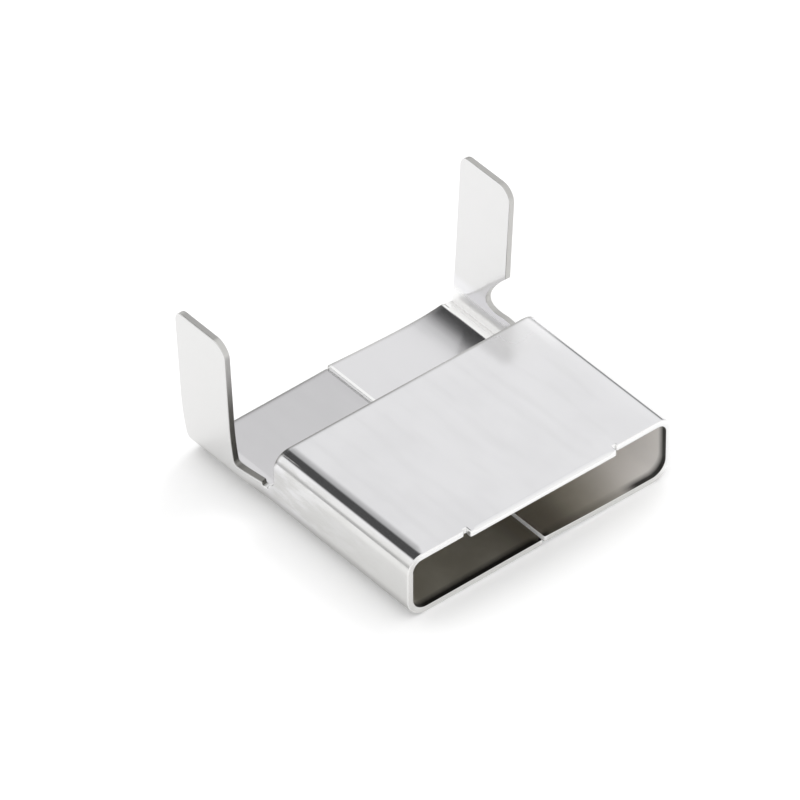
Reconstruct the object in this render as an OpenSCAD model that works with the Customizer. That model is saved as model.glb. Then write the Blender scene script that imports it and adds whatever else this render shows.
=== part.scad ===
// Strapping buckle: one piece of stainless sheet, folded round into a flat
// tube that takes two layers of steel strap. The two floor flaps meet at a
// slit under the middle and run on behind the tube, where an ear stands up
// at each side to be hammered down over the strap.
// Millimetres. +X across the strap, +Y from the mouth to the ears, +Z up.
// The origin is on the ground, in the middle of the width and the length.

/* [Sheet] */
// thickness of the sheet
sheet_t = 0.5; // [0.4:0.05:0.6]

/* [Tube] */
// width over the two walls
tube_w = 23.2; // [22:0.1:27]
// length of the top plate along the strap
tube_len = 14; // [10:0.1:18]
// height from the ground to the top of the tube
tube_h = 5.3; // [5:0.05:7]
// inside radius of the two upper bends
top_bend_r = 0.75; // [0.3:0.05:1]
// inside radius of the two lower bends and of the ear bends
low_bend_r = 1.2; // [0.8:0.05:1.5]

/* [Floor flaps] */
// width of the slit where the two flaps meet
seam_gap = 0.16; // [0.08:0.02:0.4]
// distance of the slit to the right of the middle
seam_x = 0.3; // [0:0.05:0.6]
// height that the gently bowed right flap has risen to at the slit
flap_rise = 0.25; // [0.05:0.05:0.4]

/* [Ears] */
// width of an ear along the strap
ear_len = 5.2; // [3.5:0.1:7]
// height of an ear above the ground
ear_h = 13.2; // [9:0.1:15]
// outward lean of an ear, in degrees
ear_lean = 6.7; // [0:0.1:12]
// radius of the upper corner towards the tube
ear_front_r = 1.2; // [0.5:0.05:1.6]
// radius of the upper corner at the back
ear_back_r = 0.8; // [0.3:0.05:1.6]
// radius of the round relief at the foot of the right ear's front edge
ear_bite_r = 1.6; // [0.6:0.05:1.7]
// distance of the relief centre behind that edge
ear_bite_in = 0.3; // [0.1:0.05:0.5]

/* [Side notches] */
// length of the notch between a wall and its ear
notch_len = 3.5; // [2:0.1:6]
// height of sheet left standing above the bend in the notch
notch_stand = 0.45; // [0.35:0.05:0.6]
// radius of the notch corner at the tube
notch_r = 0.8; // [0.5:0.05:1]
// radius of the small round dip in the notch floor beside that corner
dip_r = 0.25; // [0.15:0.05:0.3]

/* [Mouth lip] */
// width of the raised lip in the middle of the front edge
lip_w = 12.8; // [8:0.1:16]
// distance the lip stands forward, also the radius of its upper edge
lip_out = 0.35; // [0.1:0.05:0.4]
// width of the nick at each end of the lip
nick_w = 0.3; // [0.1:0.05:0.6]
// depth of the nicks
nick_d = 0.25; // [0.1:0.05:0.6]

/* [Hidden] */
$fn = 96;
half_w = tube_w / 2;
low_r = low_bend_r + sheet_t;
top_r = top_bend_r + sheet_t;
low_x = half_w - low_r;
top_x = half_w - top_r;
ear_y = tube_len + notch_len;
floor_len = ear_y + ear_len;
mid_y = (floor_len - lip_out) / 2;
notch_z = low_r + notch_stand;
wall_top = tube_h - top_r;
flap_run = low_x - seam_x - seam_gap / 2;
flap_r = round(50 * (flap_run * flap_run / flap_rise + flap_rise)) / 100;
flap_sweep = asin(flap_run / flap_r);

// A bend along the strap: a sector of a tube of sheet, its axis along Y
module bend(r_in, length, start_angle, sweep, fine = $fn) {
    translate([0, length, 0])
        rotate([90, 0, 0])
            rotate_extrude(angle = sweep, start = start_angle, $fn = fine)
                translate([r_in, 0])
                    square([sheet_t, length]);
}

// A flat outline drawn along Y and Z, made as thick as the sheet along +X
module side_sheet() {
    rotate([90, 0, 90])
        linear_extrude(sheet_t)
            children();
}

// What is left outside a round corner in the first quadrant
module corner_waste(r) {
    difference() {
        square(r + 1);
        circle(r);
    }
}

// Left flap, flat on the ground, and right flap, bowed up towards the slit
module floor_flaps() {
    translate([-low_x, 0, 0])
        cube([low_x + seam_x - seam_gap / 2, floor_len, sheet_t]);
    translate([low_x, 0, flap_r])
        mirror([1, 0, 0])
            bend(flap_r - sheet_t, floor_len, 270, flap_sweep, 1440);
}

// Outline of a wall: full height along the tube, a low stub in the notch
module wall_outline() {
    difference() {
        translate([0, low_r])
            square([ear_y, wall_top - low_r]);
        translate([tube_len + notch_r, notch_z])
            square([notch_len, tube_h]);
        translate([tube_len, notch_z + notch_r])
            square([notch_len + notch_r, tube_h]);
        translate([tube_len + notch_r, notch_z + notch_r])
            circle(notch_r);
        translate([tube_len + notch_r, notch_z])
            circle(dip_r);
    }
}

// Outline of an ear along Y and Z, with two round upper corners
module ear_outline() {
    difference() {
        translate([ear_y, 0])
            square([ear_len, ear_h]);
        translate([floor_len - ear_back_r, ear_h - ear_back_r])
            corner_waste(ear_back_r);
        translate([ear_y + ear_front_r, ear_h - ear_front_r])
            mirror([1, 0])
                corner_waste(ear_front_r);
    }
}

// Round relief that opens forwards, level with the floor of the notch
module ear_bite() {
    translate([ear_y + ear_bite_in, notch_z + ear_bite_r])
        circle(ear_bite_r);
    translate([ear_y - 1, notch_z])
        square([ear_bite_in + 1, ear_bite_r]);
}

// Ear: sheet that leans out from the end of the lower bend, cut to outline
module ear(relieved) {
    intersection() {
        translate([half_w - sheet_t, ear_y - 1, low_r])
            rotate([0, ear_lean, 0])
                cube([sheet_t, ear_len + 2, ear_h]);
        translate([low_x, 0, 0])
            rotate([90, 0, 90])
                linear_extrude(low_r + ear_h)
                    difference() {
                        ear_outline();
                        if (relieved) ear_bite();
                    }
    }
}

// One side, drawn at the right: lower bend, wall with its notch, and ear
module side(relieved) {
    translate([low_x, 0, low_r])
        bend(low_bend_r, floor_len, 270, 90);
    translate([half_w - sheet_t, 0, 0])
        side_sheet()
            wall_outline();
    translate([top_x, 0, wall_top])
        bend(top_bend_r, tube_len, 0, 90);
    ear(relieved);
}

// Lip seen from its end, its upper front edge rounded over
module lip_outline() {
    translate([-lip_out, -sheet_t])
        square([lip_out, sheet_t - lip_out]);
    translate([0, -lip_out])
        intersection() {
            circle(lip_out);
            translate([-lip_out, 0])
                square(lip_out);
        }
}

// Top plate with the lip along the mouth and the nicks beside it
module top_plate() {
    difference() {
        translate([-top_x, 0, tube_h - sheet_t])
            cube([2 * top_x, tube_len, sheet_t]);
        for (end = [-1, 1])
            translate([end * (lip_w + nick_w) / 2 - nick_w / 2, -1, tube_h - 2 * sheet_t])
                cube([nick_w, nick_d + 1, 3 * sheet_t]);
    }
    translate([-lip_w / 2, 0, tube_h])
        rotate([90, 0, 90])
            linear_extrude(lip_w)
                lip_outline();
}

module buckle() {
    color([0.78, 0.78, 0.79])
        translate([0, -mid_y, 0])
            union() {
                floor_flaps();
                side(true);
                mirror([1, 0, 0])
                    side(false);
                top_plate();
            }
}

buckle();
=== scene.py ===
import math

import bpy
import numpy as np
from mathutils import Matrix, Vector
from mathutils.geometry import delaunay_2d_cdt


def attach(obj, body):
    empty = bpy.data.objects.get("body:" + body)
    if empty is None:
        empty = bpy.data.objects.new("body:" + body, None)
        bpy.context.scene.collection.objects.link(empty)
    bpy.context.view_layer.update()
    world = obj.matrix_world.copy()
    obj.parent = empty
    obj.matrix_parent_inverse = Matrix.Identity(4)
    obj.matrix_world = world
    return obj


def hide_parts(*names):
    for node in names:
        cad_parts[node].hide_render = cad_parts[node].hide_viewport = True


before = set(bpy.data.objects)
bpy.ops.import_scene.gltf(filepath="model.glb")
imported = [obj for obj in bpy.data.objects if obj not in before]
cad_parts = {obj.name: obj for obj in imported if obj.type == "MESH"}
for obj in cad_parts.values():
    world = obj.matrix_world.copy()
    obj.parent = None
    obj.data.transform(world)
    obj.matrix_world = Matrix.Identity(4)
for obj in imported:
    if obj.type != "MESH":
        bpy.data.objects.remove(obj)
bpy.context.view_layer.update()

# The bent strip: the buckle is one piece of bright stainless sheet, half a
# millimetre thick, pressed round from the top plate over the walls to the floor
# flaps. These are the lines of its middle, from the slit out and up again.
MM = 0.001
SHEET = 0.5
TUBE_W, TUBE_LEN, TUBE_H = 23.2, 14.0, 5.3
TOP_R, LOW_R = 0.75 + SHEET / 2, 1.2 + SHEET / 2
EAR_Y, EAR_LEN, LIP_OUT = 17.5, 5.2, 0.35
FLOOR_LEN = EAR_Y + EAR_LEN
MID_Y = (FLOOR_LEN - LIP_OUT) / 2
SLIT_X, PAST_MIDDLE = 0.3, 1

# Distances along the strip: w from the end of the flat floor outwards and up,
# u from the middle of the top plate outwards and down.
low_x, top_x = TUBE_W / 2 - SHEET / 2 - LOW_R, TUBE_W / 2 - SHEET / 2 - TOP_R
w_wall = LOW_R * math.pi / 2
w_top = w_wall + TUBE_H - SHEET - LOW_R - TOP_R
w_plate = w_top + TOP_R * math.pi / 2
u_floor = w_plate + top_x
w_start, w_step = -low_x - PAST_MIDDLE, 0.005


def bent(*knots):
    """A line across the strap: pairs of a distance from the floor's end and the turn there, in degrees."""
    w = np.arange(w_start, u_floor + w_step, w_step)
    turn = np.radians(np.interp(w, *zip(*knots)))
    middle = (turn[1:] + turn[:-1]) / 2
    x = -PAST_MIDDLE + np.concatenate([[0], np.cumsum(np.cos(middle) * w_step)])
    z = SHEET / 2 + np.concatenate([[0], np.cumsum(np.sin(middle) * w_step)])
    return x, z, np.cos(turn), np.sin(turn)


tube = bent((0, 0), (w_wall, 90), (w_top + 0.01, 90), (w_plate - 0.155, 172), (w_plate + 0.095, 180))
left_ear = bent((-0.2, 0), (2.8, 80), (6.8, 86.8))
low_ridge = [(-3.6, 0), (-2.8, 1.2), (-1.2, 2.4), (-0.4, 5), (0.14, 6.5), (0.55, 9), (0.65, -18), (0.8, -18)]
right_ear = bent(*low_ridge, (0.92, -6), (1.45, -6), (1.9, 83), (5.5, 87.2))

# Where the ridge beside the right ear rises from the floor and how far up the
# foot of that ear it counts. A flap's bow: lift at the mouth, gain, power.
RIDGE_Y, FOOT_W, EAR_FULL_Y = (TUBE_LEN - 3.5, TUBE_LEN - 0.5), (1.0, 2.3), EAR_Y - 0.1
RIGHT_BOW, LEFT_BOW = (0.20, 0.15, 2), (0.05, 0.06, 1.3)


def ease(x, start, end):
    """Soft step from 0 at start to 1 at end, and its slope."""
    part = min(1.0, max(0.0, (x - start) / (end - start)))
    return part * part * (3 - 2 * part), 6 * part * (1 - part) / (end - start)


def smooth(x):
    """Soft step from 0 at 0 to 1 at 1."""
    return ease(x, 0, 1)[0]


def lookup(line, w):
    """Place and direction on a bent line."""
    at = min(max((w - w_start) / w_step, 0), len(line[0]) - 1.001)
    i = int(at)
    return [row[i] + (row[i + 1] - row[i]) * (at - i) for row in line]


def sheet_at(u, y):
    """Middle of the sheet for a point of the flat blank, with its directions across, along and outwards."""
    side, w = math.copysign(1, u), u_floor - abs(u)
    x, z, dx, dz = lookup(tube, w)
    along = [0.0, 1.0, 0.0]
    if y > TUBE_LEN or (side > 0 and y > RIDGE_Y[0] and w < FOOT_W[1]):
        wall_share, wall_pull = ease(y, TUBE_LEN, EAR_FULL_Y)
        floor_share, floor_pull = ease(y, *RIDGE_Y) if side > 0 else (wall_share, wall_pull)
        up, up_slope = ease(w, *FOOT_W)
        share = floor_share + (wall_share - floor_share) * up
        pull = floor_pull + (wall_pull - floor_pull) * up
        skew = (wall_share - floor_share) * up_slope
        ear_x, ear_z, ear_dx, ear_dz = lookup(right_ear if side > 0 else left_ear, w)
        off_x, off_z = ear_x - x, ear_z - z
        along = [off_x * pull, 1.0, off_z * pull]
        dx = dx + (ear_dx - dx) * share + off_x * skew
        dz = dz + (ear_dz - dz) * share + off_z * skew
        x, z = x + off_x * share, z + off_z * share
    if w < 0:
        lift, gain, power = RIGHT_BOW if side > 0 else LEFT_BOW
        run = low_x - side * SLIT_X
        lift, part = lift + gain * smooth(y / FLOOR_LEN), -w / run
        z, dz = z + lift * part ** power, dz - power * lift * part ** (power - 1) / run
    across = Vector((-dx, 0, -side * dz)).normalized()
    along = Vector((along[0] * side, along[1], along[2])).normalized()
    return Vector((side * x, y - MID_Y, z)), across, along, across.cross(along).normalized()


def fold(u, y, h):
    """Where a point of the blank ends up, in millimetres, h outwards from the middle of the wavy sheet."""
    middle, _, _, outwards = sheet_at(u, y)
    swell = 0.004 * math.sin(0.61 * u + 0.9) * math.sin(0.43 * y + 0.4)
    ripple = 0.003 * math.sin(0.37 * y - 0.23 * u)
    return middle + outwards * (h + (swell + ripple))


# The blank: the outline that is punched from the flat sheet before it is bent,
# u across from the middle of the top plate and y from the mouth to the ears.
# It has two tongues for the ears, and a round relief where the right one starts.
LIP_W, NICK_W, NICK_D, NICK_R = 12.8, 0.28, 0.2, 0.04
SLIT, SLIT_FLARE, FLARE_END = 0.006, 0.08, TUBE_LEN - 2
EAR_TOP, EAR_BACK_R, EAR_FRONT_R = 13.185, 0.8, 1.2
CORNER_R, LONGEST_BLANK = 0.12, 15.0
NOTCH_Z, NOTCH_R, NOTCH_STEPS = 2.2, 0.8, 12

# Places on the walls and ears: y from the mouth, height, radius of the corner.
relief = [(EAR_Y, 5.62, CORNER_R), (18.0, 5.1, 0), (18.5, 4.5, 0), (18.95, 3.9, 0), (19.25, 3.35, 0),
          (19.36, 2.9, 0), (19.25, 2.52, 0), (18.95, 2.3, 0), (18.5, 2.2, 0), (18.0, 2.2, 0)]
right_notch = [(17.4, 2.26, 0), (16.8, 2.28, 0), (16.2, 2.26, 0), (15.6, 2.24, 0)]
left_notch = [(EAR_Y, 2.5, 0.3), (16.8, 2.44, 0), (16.2, 2.38, 0), (15.6, 2.3, 0)]
dip = [(15.12, 2.25, CORNER_R), (15.1, 1.97, 0.11), (14.6, 1.94, 0.11), (14.54, 2.25, CORNER_R)]
notch_corner = []
for step in range(4, NOTCH_STEPS + 1):
    turn = math.radians(90 * step / NOTCH_STEPS)
    notch_corner.append((TUBE_LEN + NOTCH_R - NOTCH_R * math.sin(turn),
                         NOTCH_Z + NOTCH_R - NOTCH_R * math.cos(turn), 0))


def blank_at(side, y, z):
    """Where the flat blank reaches the height z on a wall or an ear."""
    low, high = 0.0, LONGEST_BLANK if y > TUBE_LEN else w_top
    for _ in range(40):
        w = (low + high) / 2
        low, high = (w, high) if sheet_at(side * (u_floor - w), y)[0].z < z else (low, w)
    return u_floor - w


def half_outline(side):
    """Corners of one half, from the lip round the slit and the ear to the top plate's back."""
    lip, u_slit = LIP_W / 2, u_floor + low_x - side * SLIT_X - SLIT / 2
    corners = [(lip, -LIP_OUT, CORNER_R), (lip, NICK_D, NICK_R), (lip + NICK_W, NICK_D, NICK_R),
               (lip + NICK_W, 0, CORNER_R), (u_slit - SLIT_FLARE, 0, CORNER_R), (u_slit, FLARE_END, 0),
               (u_slit, FLOOR_LEN, CORNER_R)]
    raised = [(FLOOR_LEN, EAR_TOP, EAR_BACK_R), (EAR_Y, EAR_TOP, EAR_FRONT_R)]
    raised += relief + right_notch if side > 0 else left_notch
    return corners + [(blank_at(side, y, z), y, r) for y, z, r in raised + dip + notch_corner]


def round_corners(corners, arc_step=0.09, shortest=0.01, longest=0.14, straight=1.55):
    """A closed line through corners (u, y, radius), rounded and cut into short steps."""
    line = []
    for before, (u, y, r), after in zip(corners[-1:] + corners, corners, corners[1:] + corners[:1]):
        here = np.array((u, y))
        a, b = np.array(before[:2]) - here, np.array(after[:2]) - here
        a, b = a / np.linalg.norm(a), b / np.linalg.norm(b)
        half = math.acos(max(-1.0, min(1.0, float(a @ b)))) / 2
        if r == 0 or half > straight:
            line.append(here)
            continue
        along = (a + b) / np.linalg.norm(a + b)
        centre = here + along * r / math.sin(half)
        chord = (b - a) / np.linalg.norm(b - a)
        steps = max(4, int(r * (math.pi - 2 * half) / arc_step))
        for k in range(steps + 1):
            turn = (math.pi - 2 * half) * (k / steps - 0.5)
            line.append(centre + (chord * math.sin(turn) - along * math.cos(turn)) * r)
    dense = []
    for p, q in zip(line, line[1:] + line[:1]):
        gap = np.linalg.norm(q - p)
        if gap > shortest:
            parts = max(1, math.ceil(gap / longest))
            dense += [p + (q - p) * k / parts for k in range(parts)]
    return np.array(dense)


right, left = half_outline(1), half_outline(-1)
outline = round_corners(right + [(-u, y, r) for u, y, r in reversed(left)])

# The pressed buckle: the folded sheet as a closed skin of two faces, joined
# round the outline by a sheared edge that is rolled over on the outside and
# nearly sharp on the inside, with a bigger round along the mouth's lip.
ROLL, BURR, LIP_ROLL, ROUND_STEPS = 0.1, 0.04, 0.33, 5
DULL_BAND, BAND_FADE, PLATE_DULL, BACK_DULL = 0.25, 0.1, 0.75, 0.7

ahead, behind = np.roll(outline, -1, 0) - outline, outline - np.roll(outline, 1, 0)
ahead /= np.linalg.norm(ahead, axis=1)[:, None]
behind /= np.linalg.norm(behind, axis=1)[:, None]
out = np.stack([ahead[:, 1] + behind[:, 1], -ahead[:, 0] - behind[:, 0]], 1)
out /= np.linalg.norm(out, axis=1)[:, None]
mitre = 1 / np.clip(np.sum(out * np.stack([ahead[:, 1], -ahead[:, 0]], 1), 1), 0.7, 1)
on_lip = np.array([smooth((LIP_W / 2 - 0.15 - abs(u)) / 0.5) if y < -0.01 else 0.0 for u, y in outline])
rolled = ROLL + (LIP_ROLL - ROLL) * on_lip

points, normals, faces = [], [], []
marks = {"cut_edge": [], "dull_edge": [], "inside_tube": [], "mouth_line": [], "outer_face": []}


def add_point(u, y, h, lean_out=(0, 0), slope=0.0, edge=0.0):
    """One point of the skin; slope turns its normal from the face towards the way out of the edge."""
    _, across, along, outwards = sheet_at(u, y)
    face = outwards if h > 0 else -outwards
    side = across * lean_out[0] + along * lean_out[1]
    points.append(fold(u, y, h) * MM)
    normals.append((face * math.cos(slope) + side * math.sin(slope)).normalized())
    w, under = u_floor - abs(u), smooth((0.1 - h) / 0.2)
    on_ear = smooth((w - 1) / 0.8) * smooth((y - TUBE_LEN - 0.6) / 0.6)
    on_plate = smooth((w - w_top) / 0.5) * smooth((y - TUBE_LEN + DULL_BAND) / BAND_FADE) * (y <= TUBE_LEN)
    on_back = smooth((1 - w) / 0.5) * smooth((y - FLOOR_LEN + DULL_BAND) / BAND_FADE)
    marks["cut_edge"].append(edge)
    marks["dull_edge"].append(max(edge * on_ear, PLATE_DULL * on_plate, BACK_DULL * on_back))
    marks["inside_tube"].append(smooth((TUBE_LEN - y) / 1.5 + 0.6) * under)
    marks["mouth_line"].append(under * (1 - edge) * smooth((0.45 - y) / 0.15))
    marks["outer_face"].append(1 - under)
    return len(points) - 1


def set_in(i, inset):
    """A place of the outline, moved in from the edge."""
    (u, y), way_in = outline[i], inset * mitre[i]
    return u - out[i, 0] * way_in, y - out[i, 1] * way_in


rings = []
for top in (1, -1):
    for k in range(ROUND_STEPS + 1):
        step = k if top > 0 else ROUND_STEPS - k
        slope = math.pi / 2 * step / ROUND_STEPS
        ring = []
        for i in range(len(outline)):
            r = rolled[i] if top > 0 else BURR
            u, y = set_in(i, r * (1 - math.sin(slope)))
            h = top * (SHEET / 2 - r * (1 - math.cos(slope)))
            ring.append(add_point(u, y, h, out[i], slope, step / ROUND_STEPS))
        rings.append(ring)
for upper, lower in zip(rings, rings[1:]):
    faces += zip(upper, lower, lower[1:] + lower[:1], upper[1:] + upper[:1])

# Inner points of both faces, closest together at the bends and behind the tube.
floor_lines, bend_lines = np.arange(-10, -2, 0.55), np.arange(-1.7, 3.0, 0.08)
wall_lines, top_lines = np.arange(3.2, w_top, 0.4), np.linspace(w_top, w_plate, 16)
plate_lines, middle_line = np.arange(w_plate + 0.5, u_floor - 0.3, 0.55), [u_floor - 0.12]
w_lines = np.concatenate([floor_lines, bend_lines, wall_lines, top_lines, plate_lines, middle_line])
y_lines = np.concatenate([np.arange(0.3, TUBE_LEN - 0.5, 0.5), np.arange(TUBE_LEN - 0.4, FLOOR_LEN, 0.27)])
grid = np.array([(side * (u_floor - w), y) for side in (1, -1) for w in w_lines for y in y_lines])
inside = np.zeros(len(grid), bool)
for (ua, ya), (ub, yb) in zip(outline, np.roll(outline, -1, 0)):
    if ya != yb:
        crosses = (ya > grid[:, 1]) != (yb > grid[:, 1])
        inside ^= crosses & (grid[:, 0] < ua + (grid[:, 1] - ya) * (ub - ua) / (yb - ya))
grid = grid[inside]
to_edge = np.full(len(grid), 9.0)
for u, y in outline:
    to_edge = np.minimum(to_edge, np.hypot(grid[:, 0] - u, grid[:, 1] - y))
for ring, h in ((rings[0], SHEET / 2), (rings[-1], -SHEET / 2)):
    border = [Vector(set_in(i, rolled[i] if h > 0 else BURR)) for i in range(len(outline))]
    clear = 0.1 + (ROLL if h > 0 else BURR)
    inner = [Vector(p) for p, d in zip(grid, to_edge) if d > clear and not (p[1] < 0.5 and h > 0)]
    edges = [(i, (i + 1) % len(border)) for i in range(len(border))]
    cells = delaunay_2d_cdt(border + inner, edges, [list(range(len(border)))], 1, 1e-7)
    number = {}
    for i, (origin, *_) in enumerate(cells[3]):
        number[i] = ring[origin] if origin < len(border) else add_point(*inner[origin - len(border)], h)
    for cell in cells[2]:
        corner = [number[i] for i in cell]
        faces.append(corner if h > 0 else corner[::-1])

mesh = bpy.data.meshes.new("buckle_sheet")
mesh.from_pydata(points, [], faces)
for name, values in marks.items():
    mesh.attributes.new(name, "FLOAT", "POINT").data.foreach_set("value", values)
mesh.polygons.foreach_set("use_smooth", [True] * len(mesh.polygons))
mesh.normals_split_custom_set_from_vertices(normals)
buckle = bpy.data.objects.new("buckle_sheet", mesh)
bpy.context.scene.collection.objects.link(buckle)
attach(buckle, "root")
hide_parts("buckle")


# The steel: bright rolled stainless with a faint lengthwise grain, cloudy where
# it was handled, dull grey on the ears' sheared edges and oily brown inside the
# tube, where the press left it unwiped. Painted shade and painted highlights
# stand in for light in places, each named where it is mixed in.
class Wire:
    """A socket of a node tree; sums on it add Math nodes, and make() adds any other node."""

    def __init__(self, tree, socket=None):
        self.tree, self.socket = tree, socket

    def make(self, kind, settings=None, output=0, **inputs):
        node = self.tree.nodes.new("ShaderNode" + kind)
        for key, value in (settings or {}).items():
            setattr(node, key, value)
        for key, value in inputs.items():
            at = int(key[1:]) if key[0] == "_" else key.replace("_", " ")
            if isinstance(value, Wire):
                self.tree.links.new(value.socket, node.inputs[at])
            else:
                node.inputs[at].default_value = value
        return Wire(self.tree, node.outputs[output]) if node.outputs else node

    def sum(self, operation, a, b):
        return self.make("Math", {"operation": operation}, _0=a, _1=b)

    def __add__(self, other):
        return self.sum("ADD", self, other)

    def __radd__(self, other):
        return self.sum("ADD", other, self)

    def __sub__(self, other):
        return self.sum("SUBTRACT", self, other)

    def __rsub__(self, other):
        return self.sum("SUBTRACT", other, self)

    def __mul__(self, other):
        return self.sum("MULTIPLY", self, other)

    def __rmul__(self, other):
        return self.sum("MULTIPLY", other, self)

    def __truediv__(self, other):
        return self.sum("DIVIDE", self, other)

    def __abs__(self):
        return self.sum("ABSOLUTE", self, 0)

    def at_least(self, other):
        return self.sum("MAXIMUM", self, other)

    def ramp(self, low, high):
        """0 at low, 1 at high, with soft ends."""
        soft = {"interpolation_type": "SMOOTHSTEP"}
        return self.make("MapRange", soft, Value=self, From_Min=low, From_Max=high)


steel = bpy.data.materials.new("bright_stainless")
steel.use_nodes = True
steel.node_tree.nodes.clear()
metal = Wire(steel.node_tree)
place = metal.make("TexCoord", output="Object")


def grain(across, along, detail=2.0):
    """Noise drawn out along the strap, sizes in waves per millimetre."""
    stretched = metal.make("Mapping", Vector=place, Scale=(across / MM, along / MM, across / MM))
    return metal.make("TexNoise", Vector=stretched, Scale=1.0, Detail=detail, Roughness=0.55)


def tint(share, under, over):
    """The colour over in its share, and the colour under in the rest."""
    return metal.make("Mix", {"data_type": "RGBA"}, 2, _0=share, _6=under, _7=over)


streaks, hairlines = grain(1.1, 0.12), grain(7.0, 0.35)
clouds, scuffs = grain(0.22, 0.16, 3.0), grain(1.5, 0.42, 4.0)
edge, dull, oil_and_shade, painted_mouth_shade, outside = (metal.make("Attribute", {"attribute_name": name}, "Fac") for name in marks)
x, y, z = (metal.make("SeparateXYZ", output=i, Vector=place) / MM for i in range(3))
inside_face, off_middle = 1 - outside, abs(x)
on_side, far_right = off_middle.ramp(10.9, 11.4), x.ramp(4.0, 10.5)

# Rolled sheet, and the top plate's back right: a rougher satin finish, with its colour painted lighter there
# to lift the right ear's dim reflection (painted light).
BRIGHT, CLOUDY, STREAKY = (0.80, 0.797, 0.81, 1), (0.78, 0.777, 0.79, 1), (0.62, 0.62, 0.615, 1)
SCUFFED, SATIN_LIGHTENED = (0.58, 0.575, 0.55, 1), (0.95, 0.947, 0.955, 1)
wall = on_side * y.ramp(3.4, 2.4)
satin_and_light = x.ramp(5.5, 8.5) * y.ramp(-2.0, 1.5) * y.ramp(3.3, 2.9) * z.ramp(4.9, 5.2)
colour = tint(clouds.ramp(0.35, 0.7), BRIGHT, CLOUDY)
colour = tint(streaks.ramp(0.52, 0.75) * 0.06, colour, STREAKY)
colour = tint(wall * scuffs.ramp(0.40, 0.62) * 0.55, colour, SCUFFED)
# painted light: lighter colour on the plate's back right, against the ear's reflection
colour = tint(satin_and_light, colour, SATIN_LIGHTENED)

# Floor flaps, greyer at the left of the slit, and painted shade on the walls and ears: a darker grey that
# dims their reflection of the table, strongest at the front of the walls, where they reflect its shadow.
FLAP_GREY, PAINTED_DIM_GREY = (0.62, 0.612, 0.625, 1), (0.69, 0.687, 0.675, 1)
flap = inside_face * z.ramp(1.6, 0.9) * (0.3 + x.ramp(0.5, 0.1) * 0.35)
# painted shade: darker on the walls' front, on the ears and high on the inner faces
painted_dim_outside = 0.75 - y.ramp(-4.0, 2.0) * y.ramp(4.0, 3.0) * 0.6 + y.ramp(-4.0, -11.0) * 0.25
painted_dim_inside = z.ramp(2.4, 3.2) * 0.6
colour = tint(flap, colour, FLAP_GREY)
colour = tint(on_side * (outside * painted_dim_outside + inside_face * painted_dim_inside), colour, PAINTED_DIM_GREY)

# A painted highlight on the right ear's foot, standing for the white crease there, and painted shade on the
# outer lower bends, standing for the dark contact line at the table.
FOOT_HIGHLIGHT, BEND_SHADE_GREY = (0.96, 0.957, 0.95, 1), (0.34, 0.335, 0.32, 1)
# painted highlight: a near-white strip on the right ear's foot
painted_foot_highlight = inside_face * x.ramp(10.35, 10.6) * y.ramp(1.8, 2.6) * z.ramp(2.2, 1.4)
# painted shade: dark grey along the outer lower bends
painted_bend_shade = z.ramp(2.0, 0.6) * off_middle.ramp(9.8, 10.6) * outside
colour = tint(painted_foot_highlight, colour, FOOT_HIGHLIGHT)
colour = tint(painted_bend_shade, colour, BEND_SHADE_GREY)

# Inside of the tube: brown oil, mottled, with painted shade darkest beside the
# slit, painted light pale on the right wall, and a near-black line of painted
# shade just inside the mouth, under the lip, fainter right of the slit.
OIL, DARK_OIL, SLIT_SHADE = (0.60, 0.58, 0.52, 1), (0.48, 0.46, 0.40, 1), (0.24, 0.22, 0.18, 1)
RIGHT_WALL_LIGHT, MOUTH_SHADE_BLACK = (0.97, 0.94, 0.91, 1), (0.03, 0.028, 0.026, 1)
oil_and_shade_colour = tint(clouds.ramp(0.3, 0.6), OIL, DARK_OIL)
# painted shade: darkest beside the slit
oil_and_shade_colour = tint(abs(x - 0.8).ramp(4.5, 0.8), oil_and_shade_colour, SLIT_SHADE)
# painted light: pale on the tube's right wall
oil_and_shade_colour = tint(far_right, oil_and_shade_colour, RIGHT_WALL_LIGHT)
fainter_part = x.ramp(0.4, 1.2) * x.ramp(8.8, 7.2)
colour = tint(oil_and_shade * 0.95, colour, oil_and_shade_colour)
# painted shade: a near-black line just inside the mouth, under the lip
colour = tint(painted_mouth_shade * (1 - fainter_part * 0.7), colour, MOUTH_SHADE_BLACK)

# Sheared edges: bright, darker along the mouth's left rim and with painted shade
# along its lower rim, a painted highlight on the floor beside the slit, torn and
# matt in the slit's face inside the tube.
SHEARED, LEFT_RIM, LOWER_RIM_SHADE = (0.90, 0.90, 0.895, 1), (0.70, 0.695, 0.68, 1), (0.74, 0.735, 0.72, 1)
SLIT_HIGHLIGHT, TORN = (0.92, 0.92, 0.915, 1), (0.99, 0.99, 0.985, 1)
rim, at_floor = edge * y.ramp(-10.6, -11.0), z.ramp(1.6, 1.2)
beside_slit = x.ramp(SLIT_X - 0.02, SLIT_X) * x.ramp(SLIT_X + 0.34, SLIT_X + 0.24)
painted_slit_highlight = inside_face * beside_slit * at_floor * (1 - oil_and_shade)
torn = edge * oil_and_shade * abs(x - SLIT_X).ramp(0.45, 0.2) * at_floor
colour = tint(edge.ramp(0.1, 0.7), colour, SHEARED)
colour = tint(rim * x.ramp(-10.2, -11.2), colour, LEFT_RIM)
# painted shade along the mouth's lower rim
colour = tint(rim * z.ramp(0.8, 0.4), colour, LOWER_RIM_SHADE)
# painted highlight on the floor beside the slit
colour = tint(painted_slit_highlight, colour, SLIT_HIGHLIGHT)
colour = tint(torn, colour, TORN)

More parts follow.
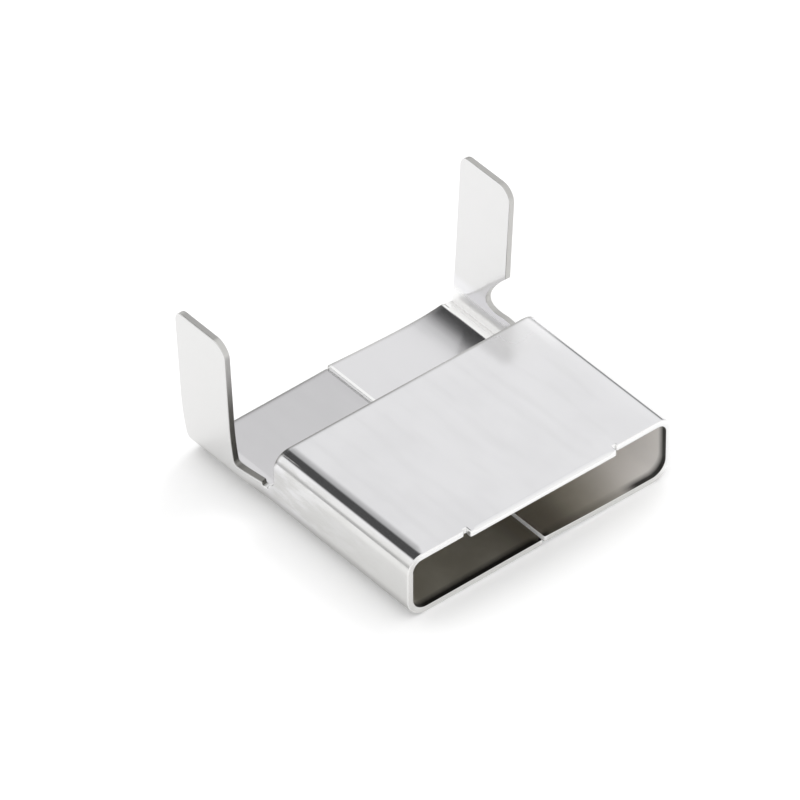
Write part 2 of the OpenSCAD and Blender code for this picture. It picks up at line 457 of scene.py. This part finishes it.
# Dull edges of the ears, the top plate and the floor, darker low down.
DULL_LOW, DULL_HIGH, DULL_RIGHT = (0.24, 0.236, 0.225, 1), (0.58, 0.575, 0.56, 1), (0.53, 0.525, 0.51, 1)
dull_colour = tint(z.ramp(2.5, 12.5), DULL_LOW, DULL_HIGH)
dull_colour = tint(x.ramp(-4.0, 4.0), dull_colour, DULL_RIGHT)
colour = tint(dull.ramp(0.2, 0.9), colour, dull_colour)

GRAIN_DEPTH = 0.0012 * MM
dullness = 0.11 + streaks.ramp(0.35, 0.8) * 0.02 + clouds.ramp(0.4, 0.8) * 0.02 + edge * 0.10 + dull * 0.15
dullness = dullness + oil_and_shade * 0.26 + wall * scuffs.ramp(0.35, 0.7) * 0.12
dullness = dullness + satin_and_light * 0.16 + painted_foot_highlight * x.ramp(10.9, 11.2) * 0.28
height = hairlines * 0.4 + streaks * 0.2 + edge * (1 - torn) * hairlines * 1.5
height = height + off_middle.ramp(10.2, 10.8) * scuffs * 4.0
bumps = metal.make("Bump", Strength=0.35, Distance=GRAIN_DEPTH, Height=height)
film = oil_and_shade * (0.15 + far_right * 0.75)
film = film + (1 - film) * torn * 0.9
skin = metal.make("BsdfPrincipled", Base_Color=colour, Metallic=1 - film, Roughness=dullness, Normal=bumps)
metal.make("OutputMaterial", Surface=skin)
mesh.materials.append(steel)

# The table: a smooth white board under the buckle, lit from above. It looks
# white to the camera and in the metal, and keeps the buckle's soft shadow.
REACH, BELOW, BOARD_WHITE, BOARD_GLOW = 1.2, 0.02 * MM, (0.93, 0.93, 0.93, 1), 0.15
WHITE = (1, 1, 1, 1)
table_mesh = bpy.data.meshes.new("table")
board_corners = [(-REACH, -REACH), (REACH, -REACH), (REACH, REACH), (-REACH, REACH)]
table_mesh.from_pydata([(x, y, -BELOW) for x, y in board_corners], [], [(0, 1, 2, 3)])
table = bpy.data.objects.new("table", table_mesh)
bpy.context.scene.collection.objects.link(table)
board = bpy.data.materials.new("white_board")
board.use_nodes = True
board.node_tree.nodes.clear()
white = Wire(board.node_tree)
seen = white.make("LightPath", output="Is Camera Ray")
seen = seen.at_least(white.make("LightPath", output="Is Glossy Ray"))
seen = seen.at_least(white.make("LightPath", output="Is Transmission Ray"))
matt = white.make("BsdfDiffuse", Color=BOARD_WHITE)
glow = white.make("Emission", Color=WHITE, Strength=seen * BOARD_GLOW)
white.make("OutputMaterial", Surface=white.make("AddShader", _0=matt, _1=glow))
table_mesh.materials.append(board)

# The studio: a white tent round the table, with a bright cloth at the back left,
# an open dark gap overhead between that and the back right, and a grey strip of
# room along the back where the cloth stops short of the table.
GAP_DARK, CLOTH_BRIGHT, DARKEST = 0.93, 0.12, 0.03
studio = bpy.data.worlds.new("studio")
bpy.context.scene.world = studio
studio.use_nodes = True
studio.node_tree.nodes.clear()
air = Wire(studio.node_tree)
way = air.make("TexCoord", output="Generated")
x, y, z = (air.make("SeparateXYZ", output=i, Vector=way) for i in range(3))
around = x * x + z * z + 0.0001
lean = x / around.sum("POWER", around, 0.5)
gap = lean.ramp(0.575, 0.545) * 0.45 + lean.ramp(0.545, 0.40) * 0.55
gap = gap * lean.ramp(-0.54, -0.34) * y.ramp(0.38, 0.50) * y.ramp(0.78, 0.67) * z.ramp(0.1, 0.3)
cloth = lean.ramp(-0.45, -0.60) * y.ramp(0.05, 0.30)
strip = z.ramp(0.38, 0.12) * y.ramp(0.1, 0.3) * y.ramp(0.98, 0.85) * (0.55 + x.ramp(0.0, 0.3) * 0.2)
tent = (1.0 - gap * GAP_DARK + cloth * CLOTH_BRIGHT - strip).at_least(DARKEST)
mirrored = air.make("LightPath", output="Is Glossy Ray")
mirrored = mirrored.at_least(air.make("LightPath", output="Is Transmission Ray"))
camera_sees = air.make("LightPath", output="Is Camera Ray")
strength = camera_sees + (1 - camera_sees) * (mirrored * tent + (1 - mirrored))
air.make("OutputWorld", Surface=air.make("Background", Color=WHITE, Strength=strength))

# The soft light: a cloth-covered panel on a stand behind the buckle at the
# right, which throws the soft shadow towards the front left.
panel = bpy.data.lights.new("soft_light", "AREA")
panel.shape, panel.size, panel.size_y, panel.energy = "RECTANGLE", 0.34, 0.34, 0.7
lamp = bpy.data.objects.new("soft_light", panel)
lamp.location = Vector((0.42, 0.12, 0.46))
lamp.rotation_euler = lamp.location.to_track_quat("Z", "Y").to_euler()
lamp.visible_camera = lamp.visible_glossy = False
bpy.context.scene.collection.objects.link(lamp)

# The camera: a long lens from the front left, about forty degrees up, which
# shows the open mouth, the top plate and both ears.
AIM, AWAY = Vector((0.238, 3.712, 3.0)), 810.297
azimuth, elevation = math.radians(-40.009), math.radians(41.114)
eye = bpy.data.cameras.new("camera")
eye.sensor_width, eye.lens = 36.0, 540.0
eye.clip_start, eye.clip_end = 0.1, 5.0
camera = bpy.data.objects.new("camera", eye)
level = math.cos(elevation)
back = Vector((math.sin(azimuth) * level, -math.cos(azimuth) * level, math.sin(elevation)))
camera.location = (AIM + back * AWAY) * MM
camera.rotation_euler = back.to_track_quat("Z", "Y").to_euler()
bpy.context.scene.collection.objects.link(camera)
bpy.context.scene.camera = camera
bpy.context.scene.view_settings.view_transform = "Standard"
